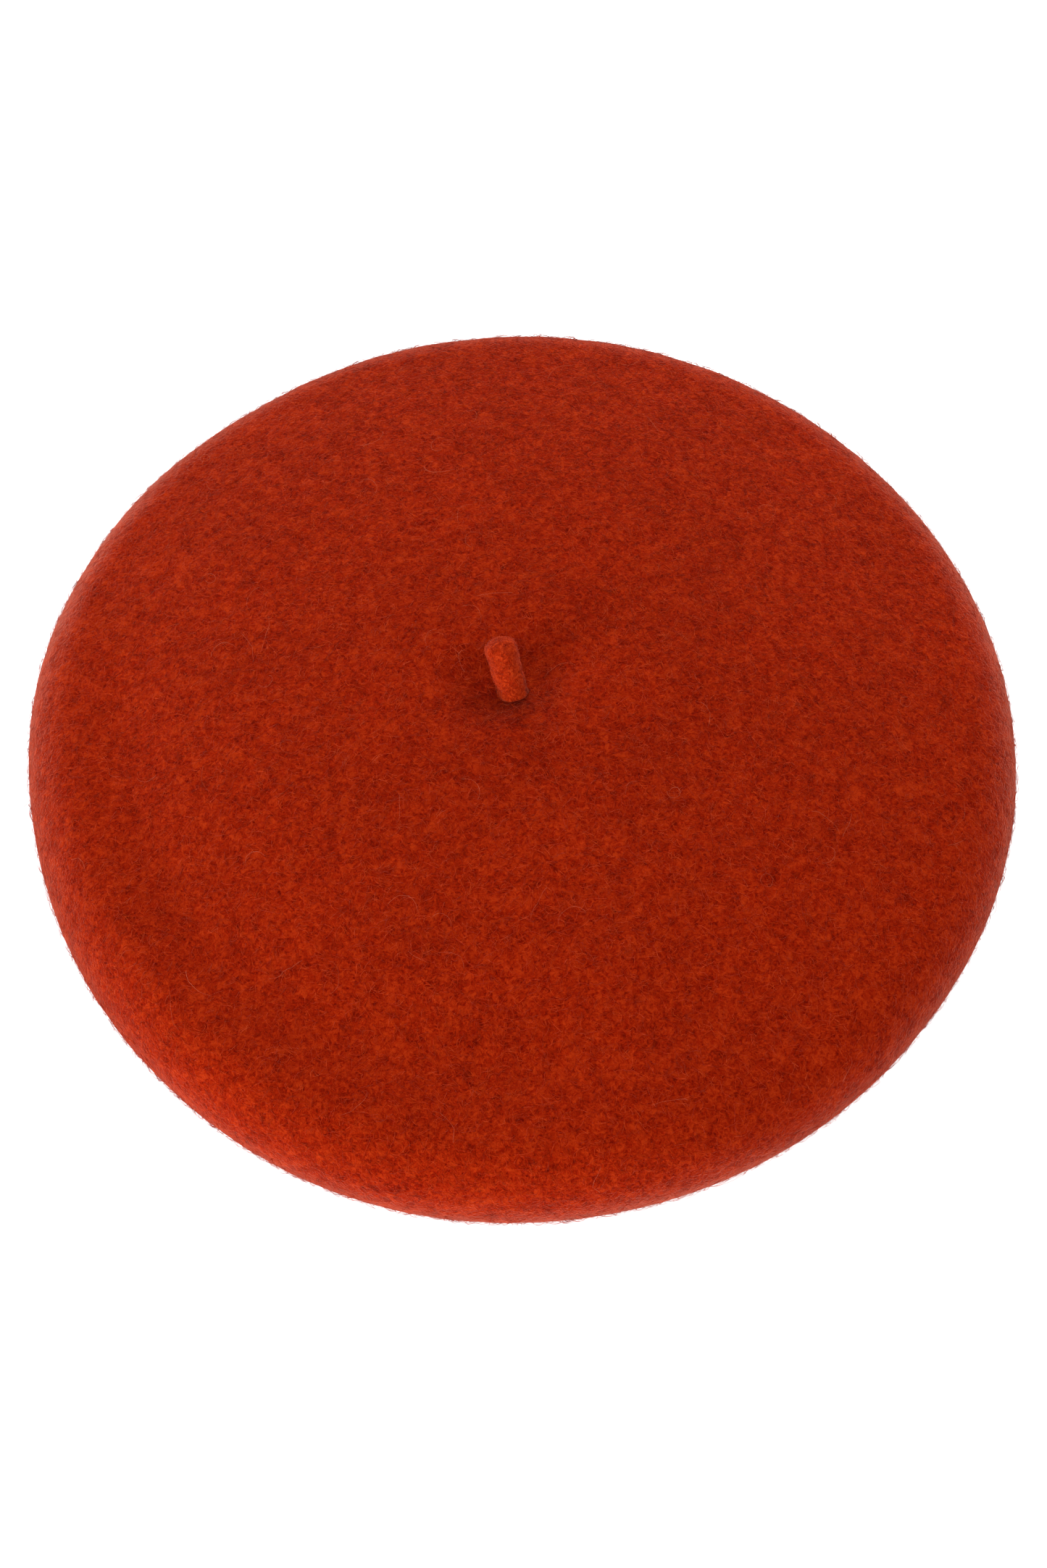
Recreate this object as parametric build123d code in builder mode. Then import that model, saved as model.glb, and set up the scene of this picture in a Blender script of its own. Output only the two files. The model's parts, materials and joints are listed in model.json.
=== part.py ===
from build123d import *
from math import asin, atan2, cos, degrees, hypot, radians, sin, tan
import os

# Wool felt beret, lying crown up. Millimetres and degrees.
# The surface that it lies on is z = 0 and the origin is the centre of the head opening.
# +Z is up, -Y is the front, and +Y the back, where the sweatband's ends meet.

# ---- driving dimensions ----
PLATE_DIAMETER = 280.0  # across the widest part of the rim
DOME_HEIGHT = 50.0  # top of the crown's dome, were there no dimple in it
FELT = 2.2  # thickness of the fulled felt
ROLL_RADIUS = 17.0  # outside radius of the rolled rim
ROLL_HEIGHT = 19.0  # centre of that roll above the surface
HEAD_RADIUS = 90.0  # inside face of the sweatband, for a head of about 57 cm

# dimple and stalk
DIMPLE_RADIUS = 27.0
DIMPLE_FLOOR = 47.0  # height of the outside of the felt at the stalk's foot
STALK_HOLE_RADIUS = 1.9
STALK_LENGTH = 16.0
STALK_FOOT_RADIUS = 3.6
STALK_TIP_RADIUS = 4.1
STALK_LEAN = 39.0  # from vertical
STALK_LEAN_AZIMUTH = 112.0  # from +X towards +Y
STALK_CLEARANCE = 0.3  # between the stalk's round foot and the felt

# hem, turned in over an elastic cord
HEM_CLEARANCE = 0.3  # between the sweatband and the fold
HEM_GAP = 1.4  # between the two layers of felt
HEM_EDGE_RADIUS = 105.0  # where the turned-in felt is cut off
FOOT_OUTER_RADIUS = 97.0  # outside edge of the flat ring that the beret lies on
ELASTIC_RADIUS = 0.6

# sweatband and the patch behind its butt joint
BAND_THICKNESS = 0.8
BAND_HEIGHT = 22.0
BAND_BOTTOM = 1.2
BAND_JOIN_GAP = 0.5
PATCH_WIDTH = 16.0
PATCH_HEIGHT = 14.0
PATCH_THICKNESS = 0.6

# labels, which lie on the hem and point out towards the rim
LABEL_THICKNESS = 0.3
LABEL_LIFT = 0.4  # above the hem
LABEL_RADIUS = 100.0  # the sewn edge
CARE_LABEL_LENGTH = 28.0
CARE_LABEL_WIDTH = 26.0
CARE_LABEL_AZIMUTH = 120.0
SIZE_LABEL_LENGTH = 16.0
SIZE_LABEL_WIDTH = 18.0
SIZE_LABEL_AZIMUTH = 90.0

# sewing
THREAD = 0.6  # width of a stitch
STITCH_PROUD = 0.15  # how far a stitch stands out of the face it is pulled into
STITCH_LENGTH = 3.4
STITCH_DEPTH = 1.7

# ---- worked out from them ----
FOLD_RADIUS = FELT + HEM_GAP / 2
HEM_TOP = 2 * FOLD_RADIUS
FOLD_CENTRE = (HEAD_RADIUS + BAND_THICKNESS + HEM_CLEARANCE + FOLD_RADIUS, FOLD_RADIUS)
ROLL_CENTRE = (PLATE_DIAMETER / 2 - ROLL_RADIUS, ROLL_HEIGHT)
DOME_RISE = DOME_HEIGHT - ROLL_HEIGHT
# a dome on the Z axis that runs smoothly into the rolled rim
DOME_RADIUS = (DOME_RISE**2 + ROLL_CENTRE[0] ** 2 - ROLL_RADIUS**2) / (2 * (DOME_RISE - ROLL_RADIUS))
DOME_CENTRE = (0, DOME_HEIGHT - DOME_RADIUS)
SHOULDER_ANGLE = degrees(atan2(ROLL_HEIGHT - DOME_CENTRE[1], ROLL_CENTRE[0]))
DIMPLE_ANGLE = 90 - degrees(asin(DIMPLE_RADIUS / DOME_RADIUS))
# the underside runs straight from the foot ring to the roll
FOOT_TO_ROLL = (ROLL_CENTRE[0] - FOOT_OUTER_RADIUS, ROLL_HEIGHT)
UNDERSIDE_SLOPE = degrees(atan2(FOOT_TO_ROLL[1], FOOT_TO_ROLL[0]) - asin(ROLL_RADIUS / hypot(*FOOT_TO_ROLL)))
UNDERSIDE_ANGLE = UNDERSIDE_SLOPE - 90
STALK_PIVOT_HEIGHT = DIMPLE_FLOOR + STALK_FOOT_RADIUS + STALK_CLEARANCE
BAND_TOP = BAND_BOTTOM + BAND_HEIGHT
LABEL_BOTTOM = HEM_TOP + LABEL_LIFT


def on_circle(centre, radius, angle):
    """A point of a circle in the (radius, height) half plane."""
    return (centre[0] + radius * cos(radians(angle)), centre[1] + radius * sin(radians(angle)))


def outward(azimuth):
    """The unit vector that points away from the Z axis at an azimuth."""
    return Vector(cos(radians(azimuth)), sin(radians(azimuth)), 0)


def wall_plane(azimuth, radius, height):
    """A plane across the radius, facing away from the Z axis, with its x along the seam."""
    return Plane(
        origin=outward(azimuth) * radius + Vector(0, 0, height),
        x_dir=outward(azimuth + 90),
        z_dir=outward(azimuth),
    )


def flat_plane(azimuth, radius, height, turn=0):
    """A level plane with its x pointing away from the Z axis, turned by an angle."""
    return Plane(
        origin=outward(azimuth) * radius + Vector(0, 0, height),
        x_dir=outward(azimuth + turn),
        z_dir=(0, 0, 1),
    )


def around(count):
    """Evenly spaced azimuths."""
    return [i * 360 / count for i in range(count)]


def shell_line(inset):
    """One face of the felt, from the foot ring round the rim to the stalk's hole."""
    foot = (FOLD_CENTRE[0], inset)
    bend = (FOOT_OUTER_RADIUS - inset * tan(radians(UNDERSIDE_SLOPE / 2)), inset)
    roll = ROLL_RADIUS - inset
    dome = DOME_RADIUS - inset
    roll_low = on_circle(ROLL_CENTRE, roll, UNDERSIDE_ANGLE)
    roll_high = on_circle(ROLL_CENTRE, roll, SHOULDER_ANGLE)
    dimple_edge = on_circle(DOME_CENTRE, dome, DIMPLE_ANGLE)
    hole_edge = (STALK_HOLE_RADIUS, DIMPLE_FLOOR - inset)
    Line(foot, bend)
    Line(bend, roll_low)
    ThreePointArc(roll_low, on_circle(ROLL_CENTRE, roll, 0), roll_high)
    ThreePointArc(roll_high, on_circle(DOME_CENTRE, dome, (SHOULDER_ANGLE + DIMPLE_ANGLE) / 2), dimple_edge)
    inward_up = on_circle((0, 0), 1, DIMPLE_ANGLE + 90)
    Spline(dimple_edge, hole_edge, tangents=[inward_up, (-1, 0)])
    return foot, hole_edge


# ---- felt body: crown, rolled rim, underside and turned-in hem in one seamless piece ----
with BuildPart() as felt_body:
    with BuildSketch(Plane.XZ):
        with BuildLine():
            outer_foot, outer_hole = shell_line(0)
            inner_foot, inner_hole = shell_line(FELT)
            Line(outer_hole, inner_hole)
            fold_top = (FOLD_CENTRE[0], HEM_TOP)
            fold_inner_top = (FOLD_CENTRE[0], HEM_TOP - FELT)
            ThreePointArc(outer_foot, on_circle(FOLD_CENTRE, FOLD_RADIUS, 180), fold_top)
            ThreePointArc(inner_foot, on_circle(FOLD_CENTRE, HEM_GAP / 2, 180), fold_inner_top)
            Polyline(fold_top, (HEM_EDGE_RADIUS, HEM_TOP), (HEM_EDGE_RADIUS, HEM_TOP - FELT), fold_inner_top)
        make_face()
    revolve(axis=Axis.Z)

# ---- elastic cord in the fold of the hem ----
with BuildPart() as hem_elastic:
    with BuildSketch(Plane.XZ):
        with Locations(FOLD_CENTRE):
            Circle(ELASTIC_RADIUS)
    revolve(axis=Axis.Z)

# ---- slanted stitches that hold the hem turned in ----
HEM_STITCH_RADIUS = 102.5
HEM_STITCH_SLANT = 55.0
HEM_STITCH_COUNT = 108
with BuildPart() as hem_stitches:
    for azimuth in around(HEM_STITCH_COUNT):
        with BuildSketch(flat_plane(azimuth, HEM_STITCH_RADIUS, HEM_TOP + STITCH_PROUD, HEM_STITCH_SLANT)):
            SlotOverall(STITCH_LENGTH, THREAD)
    extrude(amount=-STITCH_DEPTH)

# ---- grosgrain sweatband, its ends butted at the back ----
with BuildPart() as sweatband:
    with BuildSketch(Plane.XY.offset(BAND_BOTTOM)):
        Circle(HEAD_RADIUS + BAND_THICKNESS)
        Circle(HEAD_RADIUS, mode=Mode.SUBTRACT)
        with Locations((0, HEAD_RADIUS)):
            Rectangle(BAND_JOIN_GAP, 4 * BAND_THICKNESS, mode=Mode.SUBTRACT)
    extrude(amount=BAND_HEIGHT)

# ---- row of stitches along the sweatband's lower edge ----
BAND_STITCH_HEIGHT = FOLD_RADIUS
BAND_STITCH_COUNT = 90
with BuildPart() as sweatband_stitches:
    for azimuth in around(BAND_STITCH_COUNT):
        with BuildSketch(wall_plane(azimuth, HEAD_RADIUS - STITCH_PROUD, BAND_STITCH_HEIGHT)):
            SlotOverall(STITCH_LENGTH, THREAD)
    extrude(amount=STITCH_DEPTH)

# ---- ribbon patch behind the butt joint, above the hem ----
PATCH_INNER_RADIUS = HEAD_RADIUS + BAND_THICKNESS + 0.05
with BuildPart() as band_join_patch:
    with BuildSketch(Plane.XY.offset(BAND_TOP - 1 - PATCH_HEIGHT)):
        Circle(PATCH_INNER_RADIUS + PATCH_THICKNESS)
        Circle(PATCH_INNER_RADIUS, mode=Mode.SUBTRACT)
        with Locations((0, PATCH_INNER_RADIUS)):
            Rectangle(PATCH_WIDTH, PATCH_WIDTH, mode=Mode.INTERSECT)
    extrude(amount=PATCH_HEIGHT)

# ---- bar tacks across the butt joint ----
JOIN_STITCH_COUNT = 5
with BuildPart() as band_join_stitches:
    for i in range(JOIN_STITCH_COUNT):
        height = BAND_TOP - 1 - PATCH_HEIGHT * (i + 0.5) / JOIN_STITCH_COUNT
        with BuildSketch(wall_plane(90, HEAD_RADIUS - STITCH_PROUD, height)):
            SlotOverall(STITCH_LENGTH, THREAD)
    extrude(amount=STITCH_DEPTH - PATCH_THICKNESS / 2)

# ---- felt stalk, leaning, with a round foot that turns about its own centre ----
lean = outward(STALK_LEAN_AZIMUTH) * sin(radians(STALK_LEAN)) + Vector(0, 0, cos(radians(STALK_LEAN)))
lean_side = outward(STALK_LEAN_AZIMUTH + 90)
stalk_pivot = Vector(0, 0, STALK_PIVOT_HEIGHT)
tip_centre = (0, STALK_LENGTH - STALK_FOOT_RADIUS - STALK_TIP_RADIUS)
with BuildPart() as stalk:
    with BuildSketch(Plane(origin=stalk_pivot, x_dir=lean_side, z_dir=lean_side.cross(lean))):
        with BuildLine():
            foot_end = (0, -STALK_FOOT_RADIUS)
            tip_end = (0, tip_centre[1] + STALK_TIP_RADIUS)
            ThreePointArc(foot_end, on_circle((0, 0), STALK_FOOT_RADIUS, -45), (STALK_FOOT_RADIUS, 0))
            Line((STALK_FOOT_RADIUS, 0), (STALK_TIP_RADIUS, tip_centre[1]))
            ThreePointArc(
                (STALK_TIP_RADIUS, tip_centre[1]), on_circle(tip_centre, STALK_TIP_RADIUS, 45), tip_end
            )
            Line(tip_end, foot_end)
        make_face()
    revolve(axis=Axis(stalk_pivot, lean))

# ---- the stalk's tail: its neck through the crown and the knot under it ----
KNOT_RADIUS = 4.0
KNOT_DEPTH = 3.6
NECK_RADIUS = STALK_HOLE_RADIUS - 0.1
knot_top = DIMPLE_FLOOR - FELT - 0.1
with BuildPart() as stalk_tail:
    with BuildSketch(Plane.XZ):
        with BuildLine():
            Polyline(
                (0, knot_top - KNOT_DEPTH),
                (0, DIMPLE_FLOOR),
                (NECK_RADIUS, DIMPLE_FLOOR),
                (NECK_RADIUS, knot_top),
                (KNOT_RADIUS, knot_top),
            )
            EllipticalCenterArc((0, knot_top), KNOT_RADIUS, KNOT_DEPTH, start_angle=-90, arc_size=90)
        make_face()
    revolve(axis=Axis.Z)

# ---- tacking stitches that spread from the knot along the inside of the crown ----
TACK_COUNT = 6
TACK_RADIUS = KNOT_RADIUS + STITCH_LENGTH / 2 + 0.2
with BuildPart() as stalk_tack_stitches:
    for azimuth in around(TACK_COUNT):
        with BuildSketch(flat_plane(azimuth, TACK_RADIUS, DIMPLE_FLOOR - FELT - THREAD)):
            SlotOverall(STITCH_LENGTH, THREAD)
    extrude(amount=STITCH_DEPTH)

# ---- care label: one strip of satin ----
with BuildPart() as care_label:
    with BuildSketch(flat_plane(CARE_LABEL_AZIMUTH, LABEL_RADIUS, LABEL_BOTTOM)):
        Rectangle(CARE_LABEL_LENGTH, CARE_LABEL_WIDTH, align=(Align.MIN, Align.CENTER))
    extrude(amount=LABEL_THICKNESS)

# ---- size label: a woven tape folded into a loop, both its ends sewn down ----
SIZE_LABEL_HEIGHT = 3 * LABEL_THICKNESS
with BuildPart() as size_label:
    with BuildSketch(
        Plane(
            origin=outward(SIZE_LABEL_AZIMUTH) * LABEL_RADIUS + Vector(0, 0, LABEL_BOTTOM + SIZE_LABEL_HEIGHT / 2),
            x_dir=outward(SIZE_LABEL_AZIMUTH),
            z_dir=outward(SIZE_LABEL_AZIMUTH - 90),
        )
    ):
        SlotOverall(2 * SIZE_LABEL_LENGTH, SIZE_LABEL_HEIGHT)
        SlotOverall(2 * (SIZE_LABEL_LENGTH - LABEL_THICKNESS), LABEL_THICKNESS, mode=Mode.SUBTRACT)
        with Locations((SIZE_LABEL_LENGTH / 2, 0)):
            Rectangle(SIZE_LABEL_LENGTH, 2 * SIZE_LABEL_HEIGHT, mode=Mode.INTERSECT)
    extrude(amount=SIZE_LABEL_WIDTH / 2, both=True)

# ---- whip stitches that hold the labels' sewn edges to the hem ----
LABEL_STITCHES = 4
with BuildPart() as label_stitches:
    for azimuth, width in ((CARE_LABEL_AZIMUTH, CARE_LABEL_WIDTH), (SIZE_LABEL_AZIMUTH, SIZE_LABEL_WIDTH)):
        step = degrees(width / LABEL_RADIUS / LABEL_STITCHES)
        for i in range(LABEL_STITCHES):
            place = azimuth + step * (i - (LABEL_STITCHES - 1) / 2)
            with BuildSketch(
                flat_plane(place, LABEL_RADIUS - STITCH_LENGTH / 2 - 1, HEM_TOP + STITCH_PROUD)
            ):
                SlotOverall(STITCH_LENGTH, THREAD)
    extrude(amount=-STITCH_DEPTH)

pieces = {
    "felt_body": felt_body,
    "hem_elastic": hem_elastic,
    "hem_stitches": hem_stitches,
    "sweatband": sweatband,
    "sweatband_stitches": sweatband_stitches,
    "band_join_patch": band_join_patch,
    "band_join_stitches": band_join_stitches,
    "stalk": stalk,
    "stalk_tail": stalk_tail,
    "stalk_tack_stitches": stalk_tack_stitches,
    "care_label": care_label,
    "size_label": size_label,
    "label_stitches": label_stitches,
}
os.makedirs("parts", exist_ok=True)
for name, piece in pieces.items():
    piece.part.label = name
    export_step(piece.part, f"parts/{name}.step")
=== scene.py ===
"""A fulled wool beret that lies on its hem: its visual pieces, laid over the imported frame."""

import json
import math

import bpy
import numpy as np
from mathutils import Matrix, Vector, noise


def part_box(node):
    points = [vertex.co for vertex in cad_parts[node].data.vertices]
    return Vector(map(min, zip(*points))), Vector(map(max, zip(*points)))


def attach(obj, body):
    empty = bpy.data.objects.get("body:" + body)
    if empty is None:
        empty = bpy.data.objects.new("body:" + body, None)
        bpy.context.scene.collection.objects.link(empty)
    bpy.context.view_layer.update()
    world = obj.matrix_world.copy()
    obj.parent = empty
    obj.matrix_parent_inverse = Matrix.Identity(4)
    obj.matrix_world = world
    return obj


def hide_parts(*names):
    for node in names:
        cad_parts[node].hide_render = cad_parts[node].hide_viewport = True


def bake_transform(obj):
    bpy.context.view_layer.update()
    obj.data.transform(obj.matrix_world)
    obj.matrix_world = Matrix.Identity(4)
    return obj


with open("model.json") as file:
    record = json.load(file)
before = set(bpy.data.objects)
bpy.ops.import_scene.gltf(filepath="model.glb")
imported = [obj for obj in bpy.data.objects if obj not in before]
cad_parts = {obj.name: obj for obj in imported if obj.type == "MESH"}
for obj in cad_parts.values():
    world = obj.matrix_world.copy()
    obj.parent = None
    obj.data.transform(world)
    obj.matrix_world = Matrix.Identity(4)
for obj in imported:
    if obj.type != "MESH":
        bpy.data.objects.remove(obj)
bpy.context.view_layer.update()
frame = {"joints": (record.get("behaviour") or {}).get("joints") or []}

# ---------------------------------------------------------------- sizes shared by several pieces
# In metres and degrees. z = 0 is the floor, +Z is up, -Y the front and +Y the back.
MM = 0.001
felt_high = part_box("felt_body")[1]
band_low, band_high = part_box("sweatband")
FELT = 2.2 * MM
RIM = felt_high[0]  # radius of the widest part of the rim
ROLL = 17 * MM  # outside radius of the rolled rim
ROLL_HEIGHT = 19 * MM
DOME_HEIGHT = 50 * MM
DIMPLE_DEPTH = 3.4 * MM
DIMPLE_SPREAD = 14 * MM
HOLE = 1.9 * MM  # radius of the stalk's hole in the crown
BAND_OUTER = band_high[0]
BAND_THICKNESS = 0.8 * MM
HEM_GAP = 1.4 * MM  # between the two layers of felt
FOLD = FELT + HEM_GAP / 2
FOLD_RADIUS = BAND_OUTER + 0.3 * MM + FOLD  # where the hem's fold has its centre
HEM_EDGE = 105 * MM  # radius of the turned-in hem's cut edge
HEM_TOP = 2 * FOLD
FOOT_OUTER = 97 * MM  # outside radius of the ring that it stands on
RIBS_AROUND = 514  # ribs in the sweatband, about 1.1 mm apart
CARE_AZIMUTH, CARE_LENGTH, CARE_WIDTH = 120, 28 * MM, 26 * MM
SIZE_AZIMUTH, SIZE_LENGTH, SIZE_WIDTH = 90, 16 * MM, 18 * MM

SEED = 11


# ---------------------------------------------------------------- small helpers
def outward(azimuth):
    a = math.radians(azimuth)
    return np.array([math.cos(a), math.sin(a), 0.0])


def smooth(low, high, value):
    """0 below low, 1 above high and smooth between."""
    t = np.clip((value - low) / (high - low), 0, 1)
    return t * t * (3 - 2 * t)


def noise_at(points, size, shift=0.0):
    """Perlin noise, about -1 to 1, of features of a size in metres."""
    k = 1 / size
    return np.array([noise.noise(Vector((p[0] * k + shift, p[1] * k - shift, p[2] * k))) for p in points])


def unit(v):
    return v / np.maximum(np.linalg.norm(v, axis=-1, keepdims=True), 1e-12)


def add_mesh(name, points, faces, material, body="beret"):
    mesh = bpy.data.meshes.new(name)
    mesh.from_pydata(np.asarray(points).tolist(), [], faces)
    mesh.polygons.foreach_set("use_smooth", [True] * len(mesh.polygons))
    mesh.update()
    piece = bpy.data.objects.new(name, mesh)
    bpy.context.scene.collection.objects.link(piece)
    mesh.materials.append(material)
    if body:
        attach(piece, body)
    return piece


def grid_faces(rows, columns, close_rows=False, close_columns=True):
    """Quads of a grid whose point (i, j) has the index i * columns + j."""
    i = np.arange(rows if close_rows else rows - 1)
    j = np.arange(columns if close_columns else columns - 1)
    i, j = np.meshgrid(i, j, indexing="ij")
    i2, j2 = (i + 1) % rows, (j + 1) % columns
    quads = np.stack([i * columns + j, i * columns + j2, i2 * columns + j2, i2 * columns + j], -1)
    return quads.reshape(-1, 4).tolist()


# ---------------------------------------------------------------- node materials
class Nodes:
    """A short way to write a material's nodes. Sizes of patterns are in metres."""

    def __init__(self, name):
        self.material = bpy.data.materials.new(name)
        self.material.use_nodes = True
        self.tree = self.material.node_tree
        self.shader = self.tree.nodes["Principled BSDF"]
        self.where = self.add("ShaderNodeTexCoord").outputs["Object"]

    def add(self, kind, **values):
        node = self.tree.nodes.new(kind)
        for key, value in values.items():
            setattr(node, key, value)
        return node

    def link(self, source, target):
        self.tree.links.new(source, target)

    def set(self, **values):
        for key, value in values.items():
            self.shader.inputs[key.replace("_", " ")].default_value = value

    def stretched(self, vector, scale=(1, 1, 1), turn=(0, 0, 0)):
        node = self.add("ShaderNodeMapping")
        node.inputs["Scale"].default_value = scale
        node.inputs["Rotation"].default_value = [math.radians(a) for a in turn]
        self.link(vector, node.inputs["Vector"])
        return node.outputs["Vector"]

    def noise(self, size, detail=2.0, rough=0.5, distort=0.0, vector=None, colour=False):
        node = self.add("ShaderNodeTexNoise")
        node.inputs["Scale"].default_value = 1 / size
        node.inputs["Detail"].default_value = detail
        node.inputs["Roughness"].default_value = rough
        node.inputs["Distortion"].default_value = distort
        self.link(vector or self.where, node.inputs["Vector"])
        return node.outputs["Color" if colour else "Fac"]

    def warped(self, size, amount):
        """Coordinates pushed about by noise, so that straight patterns curl."""
        push = self.add("ShaderNodeVectorMath", operation="MULTIPLY_ADD")
        self.link(self.noise(size, 1.0, colour=True), push.inputs[0])
        push.inputs[1].default_value = (amount, amount, amount)
        self.link(self.where, push.inputs[2])
        return push.outputs["Vector"]

    def cells(self, size, feature="F1", vector=None):
        node = self.add("ShaderNodeTexVoronoi", feature=feature)
        node.inputs["Scale"].default_value = 1 / size
        self.link(vector or self.where, node.inputs["Vector"])
        return node.outputs["Distance"]

    def ramp(self, value, *stops):
        node = self.add("ShaderNodeValToRGB")
        ramp = node.color_ramp
        while len(ramp.elements) < len(stops):
            ramp.elements.new(0.5)
        for element, (place, colour) in zip(ramp.elements, stops):
            element.position = place
            element.color = (*colour, 1) if hasattr(colour, "__len__") else (colour, colour, colour, 1)
        self.link(value, node.inputs["Fac"])
        return node.outputs["Color"]

    def math(self, operation, a, b=0.0):
        node = self.add("ShaderNodeMath", operation=operation)
        for socket, value in zip(node.inputs, (a, b)):
            if isinstance(value, (int, float)):
                socket.default_value = value
            else:
                self.link(value, socket)
        return node.outputs["Value"]

    def mix(self, factor, a, b, blend="MIX"):
        node = self.add("ShaderNodeMix", data_type="RGBA", blend_type=blend)
        for socket, value in ((node.inputs["Factor"], factor), (node.inputs["A"], a), (node.inputs["B"], b)):
            if isinstance(value, (int, float)):
                socket.default_value = value
            elif isinstance(value, tuple):
                socket.default_value = (*value, 1)
            else:
                self.link(value, socket)
        return node.outputs["Result"]

    def bump(self, height, strength, distance):
        node = self.add("ShaderNodeBump")
        node.inputs["Strength"].default_value = strength
        node.inputs["Distance"].default_value = distance
        self.link(height, node.inputs["Height"])
        self.link(node.outputs["Normal"], self.shader.inputs["Normal"])


FELT_DEEP = (0.136, 0.0022, 0.0002)
FELT_MID = (0.298, 0.0092, 0.0005)
FELT_PALE = (0.470, 0.0320, 0.0032)
SHEEN_TINT = (1.0, 0.42, 0.30, 1)
FOOT_HEIGHT = 47 * MM  # of the crown at the stalk's foot
# how far from the stalk's foot the painted shade reaches, along x, y and z; on the crown z doesn't count
CROWN_SHADE_REACH = (26 * MM, 21 * MM, 1.0)
STALK_SHADE_REACH = (12 * MM, 12 * MM, 6 * MM)


def painted_foot_shade(n, ragged, reach):
    """Painted shade round the stalk's foot: darkest near it, out to a ragged edge."""
    away = n.add("ShaderNodeVectorMath", operation="MULTIPLY_ADD")
    n.link(n.where, away.inputs[0])
    away.inputs[1].default_value = [1 / r for r in reach]
    away.inputs[2].default_value = (0, 0, -FOOT_HEIGHT / reach[2])
    distance = n.add("ShaderNodeVectorMath", operation="LENGTH")
    n.link(away.outputs["Vector"], distance.inputs[0])
    edge = n.math("ADD", distance.outputs["Value"], n.math("MULTIPLY", ragged, 0.5))
    return n.ramp(edge, (0.40, 0.95), (0.62, 0.74), (1.2, 1.0))


def felt_material(name, deep=FELT_DEEP, mid=FELT_MID, pale=FELT_PALE, sheen=0.55, reach=CROWN_SHADE_REACH):
    """Fulled wool: matted curly fibres and dark pits between them, over soft mottling, with a dull nap, and
    painted shade round the stalk's foot.
    """
    n = Nodes(name)
    curl = n.warped(2.6 * MM, 2.4 * MM)
    fine_curl = n.warped(1.3 * MM, 1.1 * MM)
    fibres = n.ramp(n.cells(2.0 * MM, "DISTANCE_TO_EDGE", curl), (0.0, 1.0), (0.14, 0.0))
    fine_fibres = n.ramp(n.cells(1.0 * MM, "DISTANCE_TO_EDGE", fine_curl), (0.0, 1.0), (0.22, 0.0))
    strands = n.noise(0.75 * MM, 3.0, 0.65, 1.8, vector=curl)
    tufts = n.noise(1.7 * MM, 2.0, 0.6, 1.2, vector=fine_curl)
    mottle = n.noise(4.6 * MM, 2.0, 0.55)
    patches = n.noise(38 * MM, 2.0, 0.5)
    tone = n.math("ADD", n.math("MULTIPLY", tufts, 0.45), n.math("MULTIPLY", strands, 0.36))
    tone = n.math("ADD", tone, n.math("MULTIPLY", mottle, 0.19))
    colour = n.ramp(tone, (0.375, deep), (0.49, mid), (0.605, pale))
    colour = n.mix(n.math("MULTIPLY", fibres, 0.22), colour, pale)
    colour = n.mix(n.math("MULTIPLY", fine_fibres, 0.14), colour, pale)
    # random large patches of tone, times the painted shade round the stalk's foot
    patches_and_painted_shade = n.math("MULTIPLY", n.ramp(patches, (0.30, 0.93), (0.70, 1.05)), painted_foot_shade(n, mottle, reach))
    n.link(n.mix(1.0, colour, patches_and_painted_shade, "MULTIPLY"), n.shader.inputs["Base Color"])
    rough = n.ramp(tone, (0.3, 0.98), (0.7, 0.86))
    n.link(rough, n.shader.inputs["Roughness"])
    height = n.math("ADD", n.math("MULTIPLY", fibres, 0.5), n.math("MULTIPLY", fine_fibres, 0.3))
    height = n.math("ADD", height, n.math("ADD", strands, n.math("MULTIPLY", tufts, 1.1)))
    n.bump(height, 0.6, 0.32 * MM)
    n.set(Sheen_Weight=sheen, Sheen_Roughness=0.34, Sheen_Tint=SHEEN_TINT, Specular_IOR_Level=0.01)
    return n.material


def fibre_material(name, deep, mid, pale):
    """Single wool fibres, each small group of another tone."""
    n = Nodes(name)
    tone = n.noise(3.2 * MM, 2.0, 0.7)
    n.link(n.ramp(tone, (0.34, deep), (0.5, mid), (0.68, pale)), n.shader.inputs["Base Color"])
    n.link(n.ramp(tone, (0.3, 0.9), (0.7, 0.7)), n.shader.inputs["Roughness"])
    n.bump(n.noise(0.2 * MM, 2.0), 0.3, 0.05 * MM)
    n.set(Sheen_Weight=0.25, Sheen_Roughness=0.35, Sheen_Tint=SHEEN_TINT, Specular_IOR_Level=0.02)
    return n.material


felt = felt_material("felt")
# the stalk's felt is paler than the crown's: partly frayed paler fibres, partly painted light standing in for
# the light its fuzz catches; painted shade darkens it towards its foot
stalk_wool_painted_light = felt_material(
    "stalk_wool_painted_light", (0.14, 0.0045, 0.0005), (0.38, 0.0180, 0.0022), (0.62, 0.0560, 0.0090), 0.2, STALK_SHADE_REACH
)
nap_wool = fibre_material("nap_wool", (0.25, 0.0070, 0.0006), (0.43, 0.0220, 0.0020), (0.60, 0.0560, 0.0080))
stray_wool = fibre_material("stray_wool", (0.40, 0.055, 0.022), (0.50, 0.085, 0.038), (0.57, 0.14, 0.075))


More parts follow.
